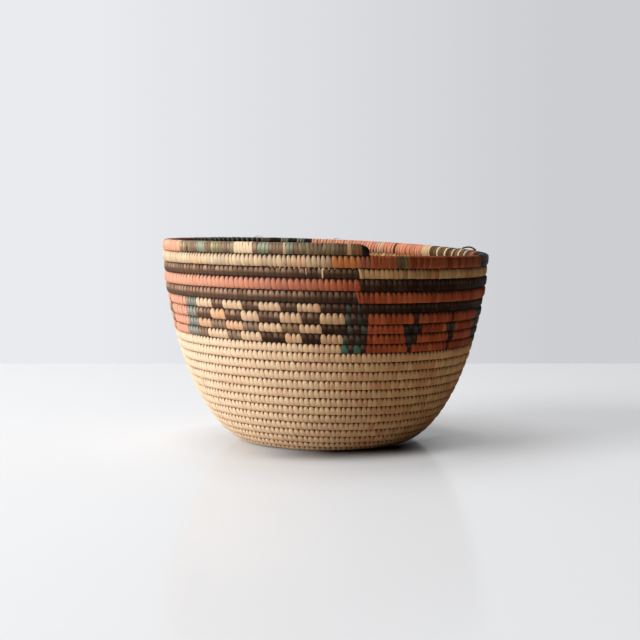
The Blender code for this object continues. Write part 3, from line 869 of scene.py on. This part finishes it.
def button():
    """Radius against angle on a spiral disc: a low dome with a dimple, ridged in slices."""
    swing = np.append(np.linspace(0, 1, SLICES * STEPS_IN_SLICE + 1), 0)
    round_share = np.append(swing[:-1], 1)
    s, a = np.meshgrid(BUTTON_SHARES, STEP_ANGLE + 2 * math.pi * round_share, indexing="ij")
    level = np.arange(len(BUTTON_SHARES))[:, None]
    slices = SLICES * round_share[None] + 0 * s
    ridge = np.abs(np.sin(math.pi * slices)) ** 0.6
    edge = BUTTON_RADIUS + (START_THICKNESS + ROW_GAP) * swing[None]
    tall = (1 - FLAT_SHARE) * COIL_DIAMETER
    top = tall - DIMPLE * (1 - s) ** 2 - EDGE_DROP * s**5 - GROOVE * (1 - ridge) * s
    low = np.where(level == EDGE_LEVEL + 1, SIDE_HEIGHT, UNDERSIDE)
    z = np.where(level <= EDGE_LEVEL, top, low)
    radius = edge * s * (1 + 0.02 * ridge)
    points = np.stack([radius * np.sin(a), -radius * np.cos(a), z], axis=-1)
    uv = np.stack([radius * (np.mod(slices, 1) - 0.5) * 0.4, radius], axis=-1)
    chance = np.random.default_rng(3).random((SLICES + 1, 3))[np.floor(slices).astype(int)]
    faces = grid_faces(len(BUTTON_SHARES), len(swing))
    return mesh_piece("base_button_stitches", points.reshape(-1, 3), faces, uv.reshape(-1, 2),
                      chance=chance.reshape(-1, 3), across=(2 * np.mod(slices, 1) - 1).ravel(),
                      around=np.full(a.size, 0.2))


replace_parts(dress(button(), "natural"), "base_button")
print("slices on the button:", SLICES)

# %% [markdown]
# Loose ends
#
# Right of the back a splint has come loose at the rim and stands up in a low arch. Two short hairs
# of fibre stand up at the back. All are thin flat strips, a little twisted.

# %% Loose splint and fibres on the rim
ARCH_STEPS, ARCH_SIDES = 40, 9


def arching_strip(name, first, last, height, wide, thin, twist, dye):
    """A flat strip along an arch over the rim, from one angle to another, turning as it goes.

    Its cross-section is a flat ellipse in the frame of the arch: the side and the way up are
    worked out from the arch's own direction, and the ellipse turns a little with each step.
    """
    rise = np.linspace(0, 1, ARCH_STEPS)
    turn = at_turn(8, first + (last - first) * rise)
    clear = height * np.sin(math.pi * rise) + thin
    middle = skin_point(turn, np.full(ARCH_STEPS, math.pi / 2), -clear)
    ring = np.linspace(0, 2 * math.pi, ARCH_SIDES)
    tangent = np.gradient(middle, axis=0)
    tangent /= np.linalg.norm(tangent, axis=1)[:, None]
    side = np.cross(tangent, [0, 0, 1.0])
    side /= np.linalg.norm(side, axis=1)[:, None]
    above = np.cross(side, tangent)
    turned = twist * rise[:, None]
    out, up = wide * np.cos(ring)[None], thin * np.sin(ring)[None]
    beside = out * np.cos(turned) - up * np.sin(turned)
    raised = out * np.sin(turned) + up * np.cos(turned)
    points = middle[:, None] + beside[..., None] * side[:, None]
    points = points + raised[..., None] * above[:, None]
    uv = np.stack([beside, np.broadcast_to(0.02 * rise[:, None], beside.shape)], axis=-1)
    faces, count = grid_faces(ARCH_STEPS, ARCH_SIDES), ARCH_STEPS * ARCH_SIDES
    return dress(mesh_piece(name, points.reshape(-1, 3), faces, uv.reshape(-1, 2),
                            chance=np.full((count, 3), 0.5), across=np.zeros(count),
                            around=np.zeros(count)), dye)


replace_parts(arching_strip("loose_splint", 102.5, 114.5, 0.0018, 0.0009, 0.0007, 0.8, "dark"),
            "stray_splint")
arching_strip("fibre_left", 206, 209.5, 0.0011, 0.00022, 0.00014, 2.0, "brown")
arching_strip("fibre_middle", 174.5, 176.5, 0.0010, 0.00022, 0.00014, 2.0, "brown")

# %% [markdown]
# Table, backdrop, light and camera
#
# The basket stands on a pale glossy table in front of a pale wall, lit softly from the left.
# Both have a set brightness that the camera sees, so that they come out as pale as in the photo
# without throwing all that light back at the basket; that brightness is painted light that fades
# from left to right. The table's shadow is partly cast by the lamps and partly painted into its
# colour and brightness, darkest in front, to the right of the middle, where the basket keeps the
# window's light off it. The camera stands 1.3 metres in front, a little above the rim, with a long
# lens.

# %% Table and wall
def plane(name, corners):
    """One flat face that is part of the stage, not of the basket."""
    mesh = bpy.data.meshes.new(name)
    mesh.from_pydata(corners, [], [(0, 1, 2, 3)])
    piece = add(name, mesh)
    piece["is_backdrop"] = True
    return piece


# How far the basket's nearness darkens the table as painted shadow, and the shares of openness
# where that counts.
SHADOW_REACH, GLOW_SHUT, GLOW_OPEN = 0.06, 0.5, 0.8
COLOUR_SHUT, COLOUR_OPEN, COLOUR_LEAST = 0.25, 0.65, 0.02


def clear_of_shadow(tree, x, y):
    """How free of the dark shadow a place is: the left side, the far right and the back are."""
    left = maths(tree, "SUBTRACT", 0.95, ramp(tree, x, -0.08, 0.02))
    right = maths(tree, "MULTIPLY", ramp(tree, x, 0.06, 0.125), 0.8)
    back = maths(tree, "MULTIPLY", ramp(tree, y, -0.05, 0.03), 0.75)
    return maths(tree, "MAXIMUM", maths(tree, "MAXIMUM", left, right), back)


def shows_pale(name, lit, dull, rough, shown_left, shown_right, share, mirrored):
    """A plain surface that throws less light than it shows.

    A share of what the camera sees is a set brightness, painted light which falls off from left to
    right and, as painted shadow, where the lamps do not reach, under things that stand near; the
    base colour is darkened there too. Mirrored is 1 where reflections show that brightness too.
    Its sheen is weak, so that it mirrors things only faintly.
    """
    material, tree, shader = new_material(name)
    shader.inputs["Roughness"].default_value = rough
    shader.inputs["IOR"].default_value = 1.12
    path = node(tree, "ShaderNodeLightPath").outputs
    seen = maths(tree, "MAXIMUM", path["Is Camera Ray"], path["Is Transmission Ray"])
    place = node(tree, "ShaderNodeTexCoord").outputs["Object"]
    x, y, _ = node(tree, "ShaderNodeSeparateXYZ", sockets={0: place}).outputs
    clear = clear_of_shadow(tree, x, y)
    openness = node(tree, "ShaderNodeAmbientOcclusion", samples=8,
                    sockets={"Distance": SHADOW_REACH}).outputs["AO"]
    # Painted shadow: the shown brightness and the table's colour go dark where the basket stands
    # near, except in the clear places.
    glow_share = maths(tree, "MAXIMUM", slope(tree, openness, GLOW_SHUT, GLOW_OPEN), clear)
    met = maths(tree, "MAXIMUM",
                slope(tree, openness, COLOUR_SHUT, COLOUR_OPEN, COLOUR_LEAST), clear)
    open_colour = blend(tree, met, (0.0, 0.0, 0.0, 1.0), linear(*lit))
    tree.links.new(blend(tree, seen, linear(*dull), open_colour), shader.inputs["Base Color"])
    # Painted light: the shown brightness is paler on the left, towards the window.
    shown = blend(tree, slope(tree, x, -0.45, 0.45), linear(*shown_left), linear(*shown_right))
    glow = node(tree, "ShaderNodeEmission", sockets={"Color": shown, "Strength": glow_share})
    seen = maths(tree, "MAXIMUM", seen, maths(tree, "MULTIPLY", path["Is Glossy Ray"], mirrored))
    mix = node(tree, "ShaderNodeMixShader", sockets={0: maths(tree, "MULTIPLY", seen, share),
                                                     1: shader.outputs[0], 2: glow.outputs[0]})
    tree.links.new(mix.outputs[0], tree.nodes["Material Output"].inputs["Surface"])
    return material


table = plane("table", [(-2.5, -2.0, 0), (2.5, -2.0, 0), (2.5, 0.685, 0), (-2.5, 0.685, 0)])
table.data.materials.append(shows_pale("pale table", (234, 235, 237), (222, 219, 215), 0.14,
                                       (238, 239, 240), (224, 225, 227), 0.3, 0.0))
wall = plane("wall", [(-3, 1.6, -1.5), (3, 1.6, -1.5), (3, 1.6, 2.5), (-3, 1.6, 2.5)])
wall.data.materials.append(shows_pale("pale wall", (220, 221, 224), (140, 141, 143), 0.9,
                                      (233, 235, 238), (205, 206, 209), 1.0, 1.0))
print("stage:", table.name, wall.name)

# %% Lamps
def soft_lamp(name, place, target, size, power):
    """A rectangular area lamp that faces its target."""
    lamp = bpy.data.lights.new(name, "AREA")
    lamp.shape, lamp.size, lamp.size_y, lamp.energy = "RECTANGLE", *size, power
    holder = add(name, lamp)
    holder.location = place
    holder.rotation_euler = (Vector(target) - Vector(place)).to_track_quat("-Z", "Y").to_euler()


soft_lamp("window left", (-3.1, -1.45, 1.5), (0, 0, 0.09), (2.3, 2.2), 182)
soft_lamp("high window", (-0.6, 0.4, 2.2), (0, 0, 0.05), (1.8, 1.4), 34)
world = bpy.data.worlds.new("room")
bpy.context.scene.world = world
world.use_nodes = True
world.node_tree.nodes["Background"].inputs["Color"].default_value = (1.0, 0.86, 0.72, 1)
world.node_tree.nodes["Background"].inputs["Strength"].default_value = 0.035
print("lamps:", len(bpy.data.lights))

# %% Camera
FOCAL_PIXELS, IMAGE_WIDTH, LOOKS_DOWN = 1469, 640, 3.92
camera = bpy.data.cameras.new("camera")
camera.sensor_width = 36
camera.lens = 36 * FOCAL_PIXELS / IMAGE_WIDTH
holder = add("camera", camera)
holder.location = (-0.0054, -1.314, 0.1966)
holder.rotation_euler = (math.radians(90 - LOOKS_DOWN), 0, 0)
bpy.context.scene.camera = holder
bpy.context.scene.view_settings.view_transform = "Standard"
print("lens in millimetres:", round(camera.lens, 1))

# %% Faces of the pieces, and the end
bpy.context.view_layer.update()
faces = sum(len(o.data.polygons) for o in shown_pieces() if o.type == "MESH")
print("faces of the pieces:", faces)
